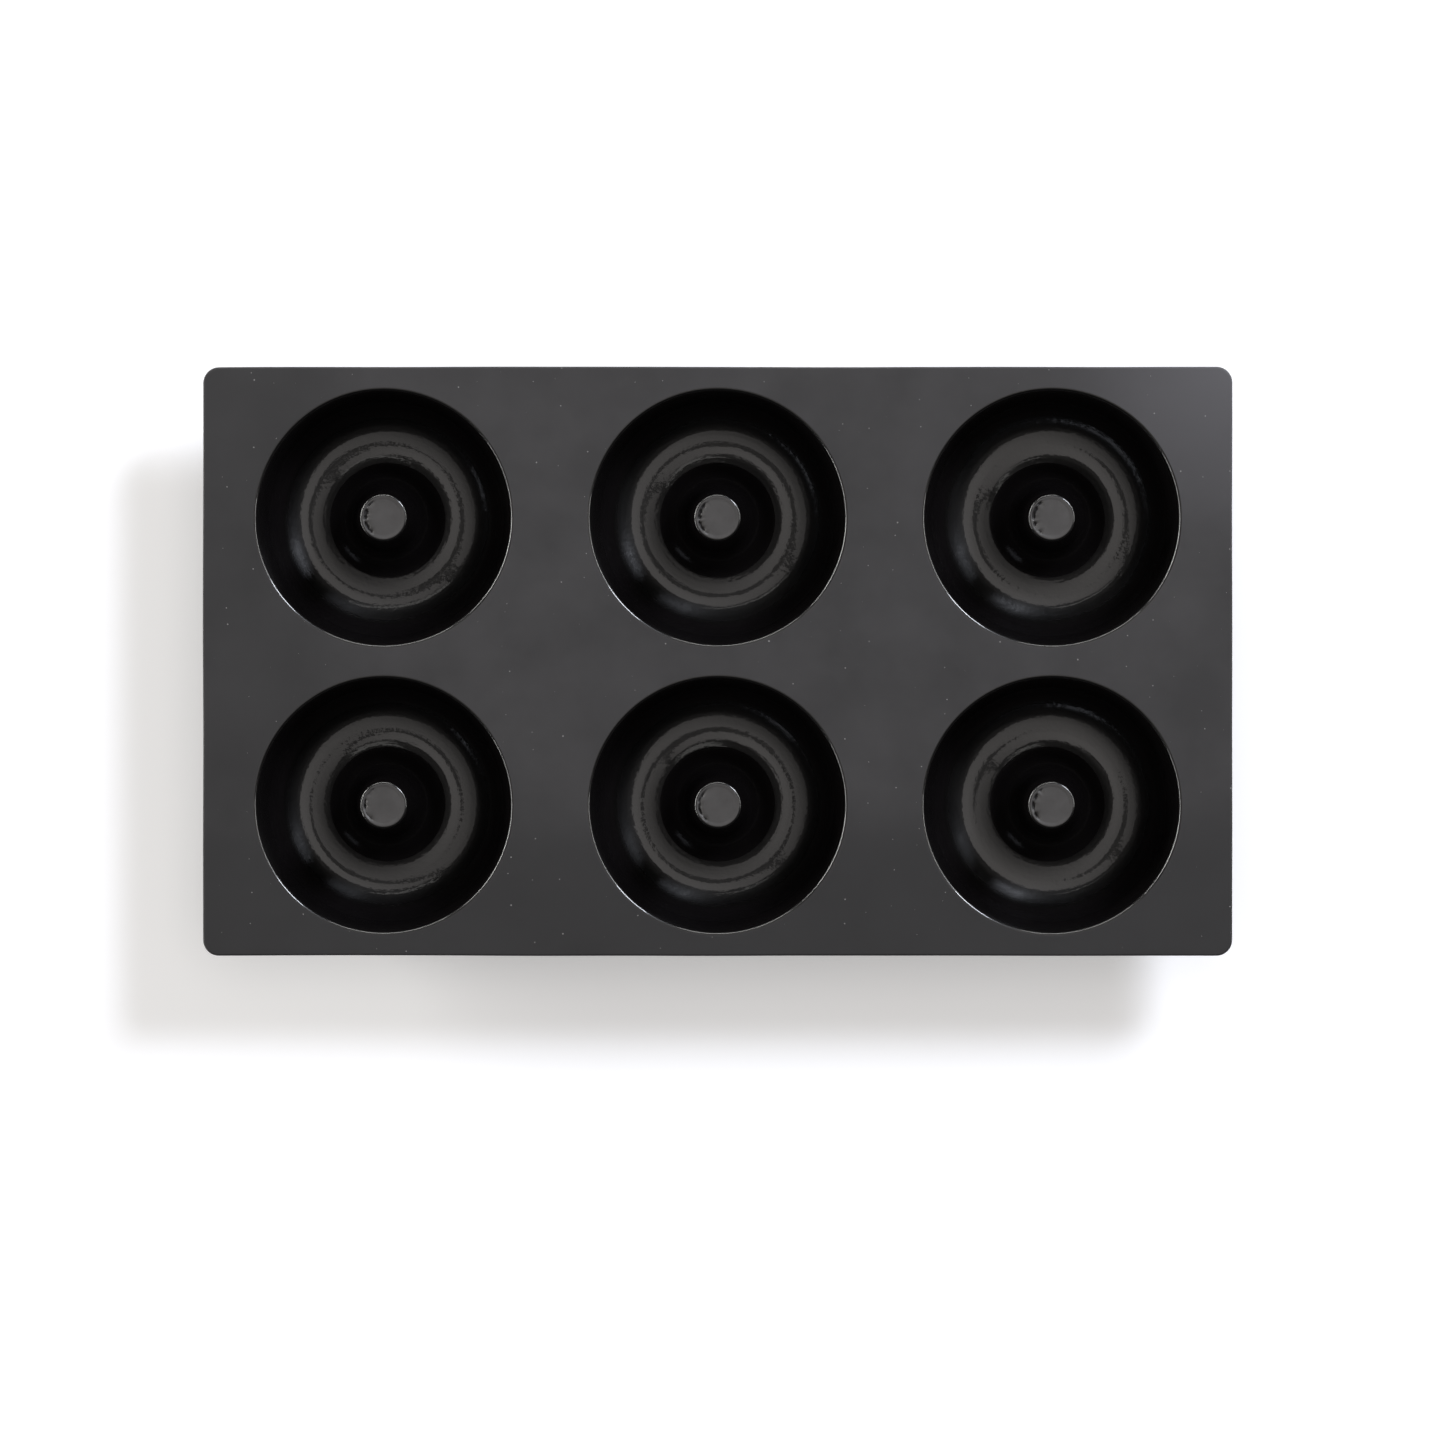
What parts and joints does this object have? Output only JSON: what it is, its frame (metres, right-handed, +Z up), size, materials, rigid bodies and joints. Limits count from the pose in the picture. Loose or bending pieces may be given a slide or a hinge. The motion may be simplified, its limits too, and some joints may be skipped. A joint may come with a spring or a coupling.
{
  "type": "doughnut pan",
  "caption": "Dark silicone doughnut mould: a thin flat sheet with a grid of deep round-bottomed ring cavities, each with a hollow centre post level with the sheet.",
  "frame": {"origin": "middle of the pan, at the height of the surface it stands on", "axes": "+X along the long side, +Y along the short side, +Z up, out of the cavities"},
  "size_m": [0.3, 0.1716, 0.0298],
  "materials": {
    "silicone": "matte sheet, glossy cavities"
  },
  "bodies": {
    "root": {"pan": "silicone"}
  },
  "joints": []
}
